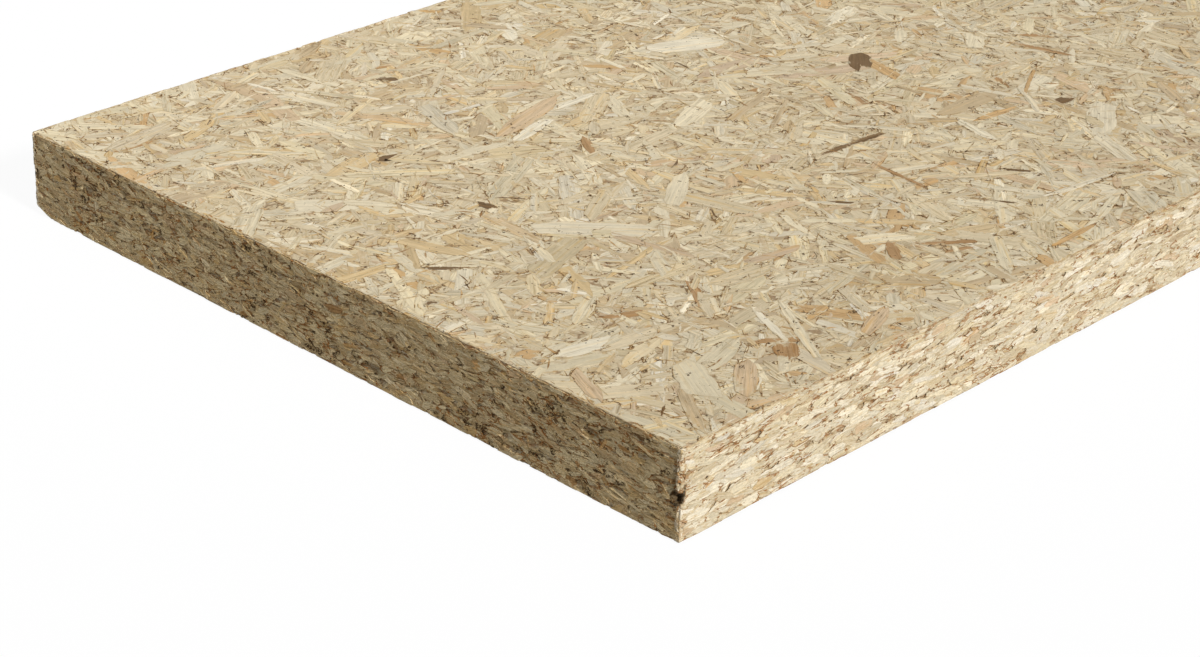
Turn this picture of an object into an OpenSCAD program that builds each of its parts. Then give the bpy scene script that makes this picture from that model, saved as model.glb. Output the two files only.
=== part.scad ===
// A rectangular particleboard panel: one flat slab of pressed wood chips, sawn on all four edges,
// with one bottom corner crushed. It lies flat. The origin is at the middle of its bottom face,
// +X runs along its length, +Y across its width and +Z up through its thickness.

/* [Panel] */
// Length of the panel, along X
panel_length = 600; // [300:10:2400]
// Width of the panel, along Y
panel_width = 250; // [100:5:1250]
// Thickness of the panel, along Z
panel_thickness = 25; // [10:1:40]

/* [Crushed corner] */
// How far the crush reaches along the panel's length
crush_along = 5; // [1:0.5:12]
// How far the crush reaches across the panel's width
crush_across = 7; // [1:0.5:12]
// How high the crush reaches from the bottom face
crush_height = 2.5; // [0.5:0.5:8]

/* [Hidden] */
// Pressed wood chips and resin, pale straw
chip_colour = [0.78, 0.70, 0.56];
// The crushed corner is where the -X end meets the +Y edge, at the bottom
crushed_corner = [-panel_length / 2, panel_width / 2, 0];
// The crush is one plane through three points, one on each edge that meets at the corner.
// Its normal points out of the corner, and the plane lies crush_depth inside it.
crush_slopes = [-1 / crush_along, 1 / crush_across, -1 / crush_height];
crush_depth = 1 / norm(crush_slopes);
crush_normal = crush_slopes * crush_depth;
crush_tilt = acos(crush_normal.z);
crush_turn = atan2(crush_normal.y, crush_normal.x);
// Side of the block that takes the corner away, past every reach of the crush
crush_block = 3 * (crush_along + crush_across + crush_height);

// The slab with square, sawn edges
module slab() {
    translate([-panel_length / 2, -panel_width / 2, 0])
        cube([panel_length, panel_width, panel_thickness]);
}

// Everything outside the crush's plane, near the corner
module crushed_away() {
    translate(crushed_corner - crush_depth * crush_normal)
        rotate([0, crush_tilt, crush_turn])
            translate([-crush_block / 2, -crush_block / 2, 0])
                cube(crush_block);
}

module particleboard_panel() {
    color(chip_colour)
        difference() {
            slab();
            crushed_away();
        }
}

particleboard_panel();
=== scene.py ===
"""The looks of a particleboard panel: pressed wood chips on its two faces, sawn chips along its four edges.

Run as a script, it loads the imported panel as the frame, lays the chips over it and sets up the studio.
Sizes are in metres unless a comment says millimetres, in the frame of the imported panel: X along its length, Y
across it, Z up.
"""

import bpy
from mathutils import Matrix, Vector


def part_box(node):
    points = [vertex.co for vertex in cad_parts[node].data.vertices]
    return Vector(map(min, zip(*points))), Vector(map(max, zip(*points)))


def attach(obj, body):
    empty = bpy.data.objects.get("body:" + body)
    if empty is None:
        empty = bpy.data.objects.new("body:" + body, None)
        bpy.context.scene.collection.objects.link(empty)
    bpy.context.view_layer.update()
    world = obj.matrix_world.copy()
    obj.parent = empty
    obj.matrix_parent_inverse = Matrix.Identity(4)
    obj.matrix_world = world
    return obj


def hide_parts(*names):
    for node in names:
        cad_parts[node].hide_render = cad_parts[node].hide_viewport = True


bl_info = {
    "name": "Particleboard Panel",
    "version": (1, 0, 0),
    "blender": (4, 5, 0),
    "location": "View3D > Sidebar > Particleboard",
    "description": "Covers a plain panel with pressed and sawn wood chips, and lights it in a small studio",
    "category": "Add Mesh",
}

import functools
import math
from typing import NamedTuple

import bpy
import numpy as np
from bpy.props import FloatProperty, FloatVectorProperty, IntProperty, PointerProperty
from mathutils import Matrix, Vector, geometry, noise

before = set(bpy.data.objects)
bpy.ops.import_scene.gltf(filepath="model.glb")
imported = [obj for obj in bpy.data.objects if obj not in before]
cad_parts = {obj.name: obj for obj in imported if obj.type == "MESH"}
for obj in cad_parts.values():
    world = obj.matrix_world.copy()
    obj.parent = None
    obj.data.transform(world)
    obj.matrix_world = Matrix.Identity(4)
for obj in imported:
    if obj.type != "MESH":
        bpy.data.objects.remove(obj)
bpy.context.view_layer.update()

BODY = "root"
CAD_NODE = "particleboard_panel"
MM = 0.001

LOW, HIGH = (np.array(corner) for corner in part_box(CAD_NODE))
LENGTH, WIDTH, THICKNESS = HIGH - LOW


# ---------------------------------------------------------------------------------------------------------
# Sizes and colours that a user would change
# ---------------------------------------------------------------------------------------------------------


def length_prop(name, description, default):
    """A distance setting, in metres."""
    return FloatProperty(name=name, description=description, default=default, min=0.0, unit="LENGTH")


def number_prop(name, description, default):
    """A plain number that is never negative."""
    return FloatProperty(name=name, description=description, default=default, min=0.0)


def count_prop(name, description, default):
    """A whole number that is never negative."""
    return IntProperty(name=name, description=description, default=default, min=0)


def angle_prop(name, description, degrees):
    """An angle setting. Its default is given in degrees."""
    return FloatProperty(name=name, description=description, default=math.radians(degrees), subtype="ANGLE")


def colour_prop(name, description, default):
    """A colour setting, in linear light."""
    return FloatVectorProperty(
        name=name, description=description, default=default, size=3, min=0.0, max=1.0, subtype="COLOR"
    )


class GroundSettings(bpy.types.PropertyGroup):
    """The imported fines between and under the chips."""

    face_inset: length_prop("Face inset", "How far the fines lie under the pressed faces", 0.18 * MM)
    edge_inset: length_prop("Edge inset", "How far the fines lie behind the saw cut", 0.36 * MM)
    edge_relief: length_prop("Edge relief", "How far the torn fines swing in and out", 0.22 * MM)
    edge_step: length_prop("Edge step", "Spacing of the points on the sawn edges", 2.0 * MM)
    fine_step: length_prop("Fine step", "Spacing of the points close to the upright arrises", 0.6 * MM)
    fine_reach: length_prop("Fine reach", "How far from those arrises the fine spacing reaches", 4.8 * MM)
    face_step: length_prop("Face step", "Spacing of the points inside the pressed faces", 10.0 * MM)
    seed: count_prop("Seed", "Seed of the relief", 3)


class FaceChipSettings(bpy.types.PropertyGroup):
    """The chips pressed into the two broad faces."""

    long_count: count_prop("Long chips", "Long chips on the top face", 1250)
    middle_count: count_prop("Middle chips", "Middling chips on the top face", 4800)
    short_count: count_prop("Short chips", "Short chips on the top face", 6000)
    fine_count: count_prop("Fine chips", "Fine chips on the top face", 5500)
    seed: count_prop("Seed", "Seed of the layout", 11)


class EdgeChipSettings(bpy.types.PropertyGroup):
    """The chips that the saw cut through along the four edges."""

    band_density: number_prop("Bands", "Long bands in each square metre", 125000.0)
    stub_density: number_prop("Stubs", "Short cut ends in each square metre", 110000.0)
    lens_density: number_prop("Lenses", "Large pale chips in each square metre", 17000.0)
    torn_share: number_prop("Torn share", "Chips on a short edge for each on a long one", 1.5)
    arris_width: length_prop("Arris width", "How wide the worn strip along each arris is", 1.5 * MM)
    arris_density: number_prop("Arris chips", "Chips in each metre of arris", 1150.0)
    upright_share: number_prop("Upright share", "Chips on an upright arris for each on a level one", 2.0)
    seed: count_prop("Seed", "Seed of the layout", 23)


class WoodColours(bpy.types.PropertyGroup):
    """The colours of the chips, and of the painted shade in their gaps, pits and holes, in linear light."""

    pale: colour_prop("Pale", "The palest slivers", (0.74, 0.645, 0.475))
    cream: colour_prop("Cream", "Clean sapwood chips", (0.675, 0.57, 0.39))
    straw: colour_prop("Straw", "Plain chips", (0.605, 0.49, 0.315))
    ash: colour_prop("Ash", "Greyish cream chips", (0.64, 0.54, 0.365))
    honey: colour_prop("Honey", "Yellow tan chips", (0.60, 0.445, 0.245))
    tan: colour_prop("Tan", "Darker plain chips", (0.51, 0.385, 0.23))
    rose: colour_prop("Rose", "Pinkish chips", (0.585, 0.43, 0.265))
    russet: colour_prop("Russet", "Orange brown chips", (0.55, 0.36, 0.175))
    umber: colour_prop("Umber", "Brown chips", (0.39, 0.235, 0.11))
    bark: colour_prop("Bark", "Dark brown chips", (0.17, 0.105, 0.052))
    late_wood: colour_prop("Late wood", "What the darker grain lines multiply a chip by", (0.82, 0.71, 0.54))
    stripe: colour_prop("Stripe", "What the broad honey stripes multiply a chip by", (0.96, 0.83, 0.60))
    knot: colour_prop("Knot", "The darkest specks on the faces", (0.075, 0.042, 0.018))
    # Painted shade: the dark of the gaps between the pressed chips and of the pits among their crumbs.
    gap: colour_prop("Gap", "Gaps between the pressed chips", (0.19, 0.092, 0.030))
    # Partly the wood's own orange brown flecks, partly painted shade in the tears and pits between the sawn
    # chips.
    pit: colour_prop("Pit", "Torn flecks between the sawn chips", (0.33, 0.14, 0.038))
    # Painted shade: the near black inside the deep holes of the torn ends and the hole beside the near corner.
    hole: colour_prop("Hole", "Deep holes in the torn ends", (0.06, 0.034, 0.015))


class StageSettings(bpy.types.PropertyGroup):
    """The camera and the lights."""

    lens: number_prop("Lens", "Focal length in millimetres", 82.2)
    azimuth: angle_prop("Azimuth", "Camera azimuth, from the front towards the right", -46.2)
    elevation: angle_prop("Elevation", "Camera elevation", 26.9)
    roll: angle_prop("Roll", "Camera roll", 1.33)
    distance: length_prop("Distance", "From the camera to the point it looks at", 0.668)
    key: number_prop("Key", "Light of the key lamp", 3.6)
    fill: number_prop("Fill", "Light of the fill lamp", 0.75)
    back: number_prop("Back", "Watts of the soft lamp over the far left corner", 0.085)
    ambient: number_prop("Ambient", "Strength of the sky that lights the part", 0.16)


# ---------------------------------------------------------------------------------------------------------
# Shader maths
# ---------------------------------------------------------------------------------------------------------


BUMP_STRENGTH = 0.9


class Value:
    """A socket that carries one number. Sums on it add Math nodes."""

    def __init__(self, recipe, socket):
        self.recipe = recipe
        self.socket = socket

    def maths(self, operation, *others):
        """A Math node with this value first."""
        inputs = dict(enumerate((self,) + others))
        return self.recipe.value("ShaderNodeMath", {"operation": operation}, inputs)

    def reflected(self, operation, other):
        """A Math node with this value second."""
        return self.recipe.value("ShaderNodeMath", {"operation": operation}, {0: other, 1: self})

    def __add__(self, other):
        return self.maths("ADD", other)

    def __radd__(self, other):
        return self.reflected("ADD", other)

    def __sub__(self, other):
        return self.maths("SUBTRACT", other)

    def __rsub__(self, other):
        return self.reflected("SUBTRACT", other)

    def __mul__(self, other):
        return self.maths("MULTIPLY", other)

    def __rmul__(self, other):
        return self.reflected("MULTIPLY", other)

    def absolute(self):
        """The value without its sign."""
        return self.maths("ABSOLUTE")

    def step(self, low, high):
        """0 below low and 1 above high, smooth between; with low above high it falls instead."""
        settings = {"interpolation_type": "SMOOTHSTEP", "clamp": True}
        rising = low < high
        inputs = {"Value": self, "From Min": min(low, high), "From Max": max(low, high)}
        inputs["To Min"] = 0.0 if rising else 1.0
        inputs["To Max"] = 1.0 if rising else 0.0
        return self.recipe.value("ShaderNodeMapRange", settings, inputs, "Result")


class Recipe:
    """The node tree of a material or a world, and the ways of adding nodes to it."""

    def __init__(self, name, owner=None):
        self.owner = owner or bpy.data.materials.new(name)
        self.owner.use_nodes = True
        self.tree = self.owner.node_tree
        self.tree.nodes.clear()

    def node(self, kind, settings=None, inputs=None):
        """Adds a node of that type. Its settings come first, then the values or links of its sockets."""
        made = self.tree.nodes.new(kind)
        for name, setting in (settings or {}).items():
            if name == "stops":
                self.set_stops(made.color_ramp, setting)
            else:
                setattr(made, name, setting)
        for key, given in (inputs or {}).items():
            socket = made.inputs[key]
            if isinstance(given, Value):
                given = given.socket
            if isinstance(given, bpy.types.NodeSocket):
                self.tree.links.new(given, socket)
            else:
                socket.default_value = given
        return made

    @staticmethod
    def set_stops(ramp, stops):
        """Gives a colour ramp its stops, (position, colour) in order."""
        while len(ramp.elements) > 1:
            ramp.elements.remove(ramp.elements[-1])
        for index, (position, colour) in enumerate(stops):
            element = ramp.elements[0] if index == 0 else ramp.elements.new(position)
            element.position = position
            element.color = (*colour, 1.0)

    def value(self, kind, settings=None, inputs=None, output=0):
        """The number that a node of that type gives."""
        return Value(self, self.node(kind, settings, inputs).outputs[output])

    def attribute(self, name, output):
        """What an attribute of the mesh holds."""
        settings = {"attribute_type": "GEOMETRY", "attribute_name": name}
        return self.node("ShaderNodeAttribute", settings).outputs[output]

    def place(self):
        """Where a point is in its own piece, in metres."""
        return self.node("ShaderNodeTexCoord").outputs["Object"]

    def vector(self, operation, first, second, output="Vector"):
        """What a Vector Math node gives for two vectors."""
        made = self.node("ShaderNodeVectorMath", {"operation": operation}, {0: first, 1: second})
        return made.outputs[output]

    def scaled(self, vector, scale):
        """A vector with each of its parts scaled."""
        return self.vector("MULTIPLY", vector, scale)

    def shifted(self, vector, shift):
        """A vector moved by a vector."""
        return self.vector("ADD", vector, shift)

    def split(self, vector):
        """The three parts of a vector."""
        made = self.node("ShaderNodeSeparateXYZ", None, {0: vector})
        return tuple(Value(self, socket) for socket in made.outputs)

    def noise(self, vector, scale, detail, roughness):
        """Fractal noise from 0 to 1, with about that many features in each unit of the vector."""
        inputs = {"Vector": vector, "Scale": scale, "Detail": detail, "Roughness": roughness}
        return self.value("ShaderNodeTexNoise", None, inputs, "Fac")

    def blend(self, mask, under, over, kind="MIX"):
        """Colour over laid on colour under, as far as the mask says."""
        settings = {"data_type": "RGBA", "blend_type": kind, "clamp_factor": True}
        made = self.node("ShaderNodeMix", settings, {"Factor": mask, 6: under, 7: over})
        return made.outputs[2]

    def brightened(self, colour, amount):
        """A colour times a number."""
        made = self.node("ShaderNodeVectorMath", {"operation": "SCALE"}, {0: colour, "Scale": amount})
        return made.outputs[0]

    def bump(self, height, distance):
        """The normal of a relief of that height."""
        inputs = {"Height": height, "Distance": distance, "Strength": BUMP_STRENGTH}
        return self.node("ShaderNodeBump", None, inputs).outputs[0]

    def finish(self, shader):
        """Makes that shader the surface of the material or the world, and returns it."""
        kind = "World" if isinstance(self.owner, bpy.types.World) else "Material"
        self.node(f"ShaderNodeOutput{kind}", None, {"Surface": shader})
        return self.owner


def rgba(colour):
    """A settings colour as a socket takes it."""
    return (*colour, 1.0)


def crumb_colour(recipe, pick, colours):
    """A colour for each crumb from its own random number."""
    stops = [
        (0.0, colours.tan),
        (0.12, colours.straw),
        (0.35, colours.cream),
        (0.5, colours.ash),
        (0.62, colours.honey),
        (0.72, colours.straw),
        (0.9, colours.cream),
        (1.0, colours.rose),
    ]
    return recipe.node("ShaderNodeValToRGB", {"stops": stops}, {"Fac": pick}).outputs["Color"]


def crumb_cells(recipe, place, scale, wave_scale, swing):
    """A wavy cell for each crumb: where each point lies among the cells, and the cells' node."""
    waves = recipe.node("ShaderNodeTexNoise", None, {"Vector": place, "Scale": wave_scale, "Detail": 2.0})
    waves = recipe.scaled(waves.outputs["Color"], (swing, swing, swing))
    spread = recipe.shifted(recipe.scaled(place, scale), waves)
    return spread, recipe.node("ShaderNodeTexVoronoi", None, {"Vector": spread, "Scale": 1.0})


def pressed_crumbs(recipe, place, colours):
    """Small splinters pressed flat, each turned its own way: their colour, their grain, the pits between."""
    spread, cells = crumb_cells(recipe, place, (430.0, 430.0, 430.0), 500.0, 0.9)
    turn, pick, _ = recipe.split(cells.outputs["Color"])
    offset = recipe.vector("SUBTRACT", spread, cells.outputs["Position"])
    inputs = {"Vector": offset, "Angle": turn * (2 * math.pi)}
    along = recipe.node("ShaderNodeVectorRotate", {"rotation_type": "Z_AXIS"}, inputs).outputs[0]
    seeded = recipe.shifted(recipe.scaled(along, (0.7, 6.0, 1.0)), cells.outputs["Color"])
    streak = recipe.noise(seeded, 1.0, 3.0, 0.6)
    # Painted shade: the pits between the crumbs, which the materials darken in the gap or pit colour.
    pits = Value(recipe, cells.outputs["Distance"]).step(0.68, 0.90)
    colour = recipe.brightened(crumb_colour(recipe, pick, colours), 0.64 + 0.58 * streak)
    return colour, streak, pits


def sawn_crumbs(recipe, place, colours):
    """Splinters cut by the saw, flattened level: their colour, their grain and the pits between them."""
    cells = crumb_cells(recipe, place, (330.0, 330.0, 1050.0), 380.0, 1.1)[1]
    pick = recipe.split(cells.outputs["Color"])[1]
    seeded = recipe.shifted(recipe.scaled(place, (420.0, 420.0, 3300.0)), cells.outputs["Color"])
    streak = recipe.noise(seeded, 1.0, 3.0, 0.62)
    # Painted shade: the pits between the crumbs, which the materials darken in the pit colour.
    pits = Value(recipe, cells.outputs["Distance"]).step(0.60, 0.84)
    colour = recipe.brightened(crumb_colour(recipe, pick, colours), 0.58 + 0.66 * streak)
    return colour, streak, pits


def wood_surface(recipe, colour, roughness, relief, depth, gloss):
    """A dry wood surface with that relief, depth metres deep."""
    inputs = {
        "Base Color": colour,
        "Roughness": roughness,
        "Specular IOR Level": gloss,
        "Normal": recipe.bump(relief, depth),
    }
    return recipe.finish(recipe.node("ShaderNodeBsdfPrincipled", None, inputs).outputs[0])


def chip_moods(recipe, grain):
    """Three random numbers that hold for a whole chip, from the seed in its grain."""
    seed = recipe.split(grain)[2].maths("ROUND")
    mood = recipe.node("ShaderNodeTexWhiteNoise", {"noise_dimensions": "1D"}, {"W": seed})
    return recipe.split(mood.outputs["Color"])


def border_of(recipe):
    """How far a point of a chip is from the chip's own border, in millimetres."""
    return Value(recipe, recipe.attribute("chip_border", "Fac")) * (1 / MM)


PRESSED_TINT = (1.01, 1.04, 1.075, 1.0)


def pressed_chip_material(colours):
    """Wood chips lying flat: fine grain along each chip, torn borders, and dark gaps beside some of them."""
    recipe = Recipe("pressed_chips")
    grain = recipe.attribute("chip_grain", "Vector")
    colour = recipe.attribute("chip_colour", "Color")
    border = border_of(recipe)
    place = recipe.place()
    strength, honey, wear = chip_moods(recipe, grain)

    band = recipe.noise(recipe.scaled(grain, (35.0, 560.0, 1.0)), 1.0, 2.0, 0.5)
    streak = recipe.noise(recipe.scaled(grain, (75.0, 1350.0, 1.0)), 1.0, 4.0, 0.72)
    stain = recipe.noise(place, 170.0, 3.0, 0.62)
    grit = recipe.noise(place, 900.0, 3.0, 0.65)
    tear = recipe.noise(place, 240.0, 2.0, 0.55)

    swing = 0.40 + 0.8 * strength
    tone = swing * (1.35 * (streak - 0.5) + 0.45 * (band - 0.5)) + 0.34 * (stain - 0.5) + 0.24 * (grit - 0.5)
    colour = recipe.brightened(colour, (tone + 1.0).maths("MINIMUM", 1.13))
    stripes = band.step(0.50, 0.68) * honey.step(0.3, 0.95)
    colour = recipe.blend(stripes * 0.85, colour, rgba(colours.stripe), "MULTIPLY")
    lines = (streak + band * 0.5).step(0.68, 0.54) * swing
    colour = recipe.blend(lines * 0.7, colour, rgba(colours.late_wood), "MULTIPLY")
    crumbs, crumb_streak, pits = pressed_crumbs(recipe, place, colours)
    fray = border.step(0.9, 0.05) * 0.15
    worn = (stain + 0.35 * grit + 0.3 * streak + 0.14 * wear + fray).step(1.01, 1.10)
    colour = recipe.blend(worn * 0.9, colour, crumbs)
    # Painted shade: a thin darker line along each chip's border.
    outline = (border + 0.5 * (grit - 0.5)).step(0.20, 0.04)
    colour = recipe.blend(outline * 0.45, colour, rgba(colours.late_wood), "MULTIPLY")
    hair = (band - 0.5).absolute().step(0.014, 0.004) * strength.step(0.35, 0.7)
    colour = recipe.blend(hair * 0.8, colour, rgba(colours.late_wood), "MULTIPLY")
    width = (5.0 * (tear - 0.545)).maths("MINIMUM", 0.22)
    halo = (width + 0.35 - border).step(0.0, 0.3) * tear.step(0.52, 0.56)
    colour = recipe.blend(halo * 0.6, colour, rgba(colours.stripe), "MULTIPLY")
    # Painted shade: the gaps along the torn chip borders and the pits among the crumbs, in the gap colour.
    gap = (width + 1.1 * (grit - 0.5) - border).step(0.0, 0.08)
    dark = gap.maths("MAXIMUM", worn * pits * 0.5)
    colour = recipe.blend(dark * 0.9, colour, rgba(colours.gap))
    specks = (grit + 0.4 * (tear - 0.5)).step(0.665, 0.685)
    colour = recipe.blend(specks * 0.9, colour, rgba(colours.knot))
    colour = recipe.blend(1.0, colour, PRESSED_TINT, "MULTIPLY")
    relief = streak * (1 - worn) + worn * crumb_streak - dark * 1.5 - specks
    return wood_surface(recipe, colour, 0.62 + 0.3 * streak, relief, 0.08 * MM, 0.12)


class SawnLook(NamedTuple):
    """How one pair of sawn edges looks.

    That is the contrast of its grain, the depth of its relief in millimetres, how strong its finest grit is,
    the levels above which tears and deep holes show, and its tint.
    """

    name: str
    contrast: float
    relief: float
    sand: float
    tears: float
    holes: float
    tint: tuple


CLEAN_CUT = SawnLook("clean_cut_chips", 0.75, 0.12, 0.72, 0.575, 0.90, (1.02, 1.045, 1.09))
# The torn cut's warm tint paints in the warmer shade of the short ends.
TORN_CUT = SawnLook("torn_cut_chips", 1.4, 0.30, 1.00, 0.555, 0.655, (1.08, 1.04, 0.92))
# How dark the painted shade of the near corner's hole gets, and how far beyond its reach it fades.
HOLE_SHADE = 0.85
HOLE_SHADE_FADE = 1.3


def in_hole_shade(recipe, place, colour, dark, reach):
    """Painted shade of the hole beside the near corner: darker within that reach, less and less beyond it."""
    distance = recipe.vector("DISTANCE", place, tuple(CORNER_HOLE), "Value")
    shade = Value(recipe, distance).step(HOLE_SHADE_FADE * reach, reach)
    return recipe.blend(shade * HOLE_SHADE, colour, rgba(dark))


def sawn_chip_material(colours, look):
    """Chips cut by the saw: torn grain, crumbs between, orange brown tears in clusters, a few dark holes."""
    recipe = Recipe(look.name)
    grain = recipe.attribute("chip_grain", "Vector")
    colour = recipe.attribute("chip_colour", "Color")
    border = border_of(recipe)
    place = recipe.place()
    strength, _, wear = chip_moods(recipe, grain)

    streak = recipe.noise(recipe.scaled(grain, (190.0, 2000.0, 1.0)), 1.0, 4.0, 0.74)
    fibre = recipe.noise(recipe.scaled(grain, (60.0, 700.0, 1.0)), 1.0, 1.0, 0.5)
    stain = recipe.noise(recipe.scaled(place, (1.0, 1.0, 2.0)), 170.0, 3.0, 0.62)
    grit = recipe.noise(recipe.scaled(place, (1.0, 1.0, 1.5)), 560.0, 3.0, 0.65)
    tear = recipe.noise(recipe.scaled(place, (1.0, 1.0, 1.3)), 210.0, 2.0, 0.55)
    cluster = recipe.noise(place, 75.0, 1.0, 0.5)

    sand = recipe.noise(recipe.scaled(place, (1.0, 1.0, 1.8)), 1500.0, 2.0, 0.7)
    swing = (0.35 + 0.7 * strength) * look.contrast
    tone = 1.0 + 1.4 * swing * (streak - 0.5) + 0.22 * (stain - 0.5)
    tone = tone + 0.16 * look.contrast * (grit - 0.5) + look.sand * (sand - 0.5)
    colour = recipe.brightened(colour, tone)
    torn = streak.step(0.46, 0.34) * swing
    colour = recipe.blend(torn * 0.7, colour, rgba(colours.late_wood), "MULTIPLY")
    crumbs, crumb_streak, pits = sawn_crumbs(recipe, place, colours)
    crumbs = recipe.brightened(crumbs, 1.0 + look.contrast * (grit - 0.5))
    fray = border.step(0.7, 0.05) * 0.12
    worn = (stain + 0.35 * grit + 0.3 * streak + 0.14 * wear + fray).step(0.98, 1.06)
    colour = recipe.blend(worn, colour, crumbs)
    # Painted shade: a thin darker line along each chip's border; the hairs are dark grain.
    outline = (border + 0.5 * (grit - 0.5)).step(0.22, 0.05)
    hair = (fibre - 0.5).absolute().step(0.02, 0.006)
    thin = (outline * 0.45).maths("MAXIMUM", hair * 0.7)
    colour = recipe.blend(thin, colour, rgba(colours.late_wood), "MULTIPLY")
    # Painted shade in the tears along the chip borders and the pits among the crumbs; the specks are the wood's
    # own orange brown flecks. All take the pit colour.
    width = (5.0 * (tear + 0.4 * (cluster - 0.5) - look.tears)).maths("MINIMUM", 0.2)
    gap = (width + 1.2 * (grit - 0.5) - border).step(0.0, 0.08)
    specks = grit.step(0.613, 0.63) * stain.step(0.47, 0.52)
    dark = specks.maths("MAXIMUM", worn * pits * 0.7).maths("MAXIMUM", gap)
    colour = recipe.blend(dark * 0.9, colour, rgba(colours.pit))
    # Painted shade: clusters of deep holes, near black inside and a little darker round about.
    deep = recipe.noise(recipe.scaled(place, (0.8, 0.8, 1.3)), 360.0, 1.0, 0.5)
    zone = (deep + 0.5 * (cluster - 0.5)).step(look.holes, look.holes + 0.06)
    hole = zone * (grit + 0.9 * (sand - 0.5)).step(0.49, 0.56)
    colour = recipe.blend(zone * 0.4, colour, rgba(colours.late_wood), "MULTIPLY")
    colour = recipe.blend(hole * 0.92, colour, rgba(colours.hole))
    colour = in_hole_shade(recipe, place, colour, colours.hole, 1.75 * MM)
    colour = recipe.blend(1.0, colour, (*look.tint, 1.0), "MULTIPLY")
    relief = streak * (1 - worn) + worn * crumb_streak + 0.5 * sand - dark * 1.6 - hole * 2
    return wood_surface(recipe, colour, 0.72 + 0.22 * streak, relief, look.relief * MM, 0.05)


def pressed_ground_material(colours):
    """Fines pressed together under the face chips."""
    recipe = Recipe("pressed_fines")
    place = recipe.place()
    colour, streak, pits = pressed_crumbs(recipe, place, colours)
    grit = recipe.noise(place, 900.0, 3.0, 0.65)
    # Painted shade in the pits among the fines, and dark specks of grit, both in the gap colour.
    dark = (pits * 0.7).maths("MAXIMUM", grit.step(0.58, 0.66))
    colour = recipe.blend(dark * 0.85, colour, rgba(colours.gap))
    return wood_surface(recipe, colour, 0.74 + 0.2 * streak, streak - dark, 0.2 * MM, 0.05)


def sawn_ground_material(colours):
    """Torn fines behind the saw cut."""
    recipe = Recipe("sawn_fines")
    place = recipe.place()
    colour, streak, pits = sawn_crumbs(recipe, place, colours)
    grit = recipe.noise(recipe.scaled(place, (1.0, 1.0, 2.0)), 700.0, 3.0, 0.65)
    # Painted shade in the pits among the fines, and dark specks of grit, both in the pit colour.
    dark = (pits * 0.8).maths("MAXIMUM", grit.step(0.50, 0.60))
    colour = recipe.blend(dark * 0.75, colour, rgba(colours.pit))
    # Painted warm shade: the fines behind the saw cut are browned a quarter of the way towards late wood.
    colour = recipe.blend(0.25, colour, rgba(colours.late_wood), "MULTIPLY")
    colour = in_hole_shade(recipe, place, colour, colours.hole, 2.4 * MM)
    return wood_surface(recipe, colour, 0.76 + 0.2 * streak, streak - dark, 0.3 * MM, 0.05)


def seen_directly(recipe):
    """1 for what the camera sees directly, in a gloss or through glass, and 0 for what lights things."""
    path = recipe.node("ShaderNodeLightPath")
    rays = [Value(recipe, path.outputs[f"Is {kind} Ray"]) for kind in ("Camera", "Glossy", "Transmission")]
    return rays[0].maths("MAXIMUM", rays[1]).maths("MAXIMUM", rays[2])


WHITE = (1.0, 1.0, 1.0, 1.0)
FLOOR_SHOWN = (0.95, 0.95, 0.95, 1.0)
FLOOR_BOUNCING = (0.3, 0.3, 0.3, 1.0)
FLOOR_GLOW = 0.93


def floor_material():
    """A plain pale floor: white to the camera apart from the shadow, and dimmer to the light it bounces."""
    recipe = Recipe("studio_floor")
    seen = seen_directly(recipe)
    plain = recipe.node("ShaderNodeBsdfDiffuse", None, {"Color": FLOOR_BOUNCING}).outputs[0]
    shaded = recipe.node("ShaderNodeBsdfDiffuse", None, {"Color": FLOOR_SHOWN}).outputs[0]
    white = recipe.node("ShaderNodeEmission", None, {"Color": WHITE}).outputs[0]
    shown = recipe.node("ShaderNodeMixShader", None, {0: FLOOR_GLOW, 1: shaded, 2: white}).outputs[0]
    return recipe.finish(recipe.node("ShaderNodeMixShader", None, {0: seen, 1: plain, 2: shown}).outputs[0])


# ---------------------------------------------------------------------------------------------------------
# The sides of the panel
# ---------------------------------------------------------------------------------------------------------


# The small dark hole beside the near corner, and the crater round it.
CORNER_HOLE = np.array([LOW[0], LOW[1] + 1.5 * MM, HIGH[2] - 13.5 * MM])
CORNER_HOLE_RADII = np.array([1.5, 1.5]) * MM
CORNER_HOLE_DEPTH = 2.5 * MM
CORNER_CRATER_SHIFT = np.array([1.5, 3.0]) * MM
CORNER_CRATER_RADII = (3.0 * MM, 6.5 * MM)
CORNER_CRATER_DEPTH = 1.7 * MM

# The hollows where other chips fell out: how many to the square metre, and their radii and depths in mm.
SHALLOW_HOLLOWS = (1200, (0.4, 0.9), (0.1, 0.25))
DEEP_HOLLOWS = (9000, (0.6, 1.8), (0.4, 1.3))
HOLLOWS = {"front": SHALLOW_HOLLOWS, "back": SHALLOW_HOLLOWS, "left": DEEP_HOLLOWS, "right": DEEP_HOLLOWS}
HOLLOW_SEED = 5
HOLLOW_STRETCH = 1.6
HOLLOW_FADE = 6.0 * MM
BORDER_HOLLOW = 0.15

# The dents at the ends of the short sides: how many, how high up, and their radii and depths in mm.
CORNER_DENTS = 6
DENT_HEIGHTS = (6.0 * MM, 24.0 * MM)
DENT_RADII = ((1.2, 2.6), (1.5, 3.5))
DENT_DEPTHS = (0.3, 1.2)

# How the arrises crumbled: how fine and how strong the waves of wear are, and the wear they make, in mm.
WEAR_WAVES = ((160, 1.0), (420, 0.6))
LEAST_WEAR = 0.10
WEAR_SWING = 0.75
WEAR_LEVEL = 0.35
MOST_SWING = 1.2
UPRIGHT_WEAR = 0.4
BOTTOM_WEAR = 0.3
BOTTOM_REACH = 1.0 * MM

# A face whose normal has no part as large as this is slanted, and a point this near a side lies on it.
SQUARE = 0.995
TOUCH = 0.1 * MM


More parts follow.
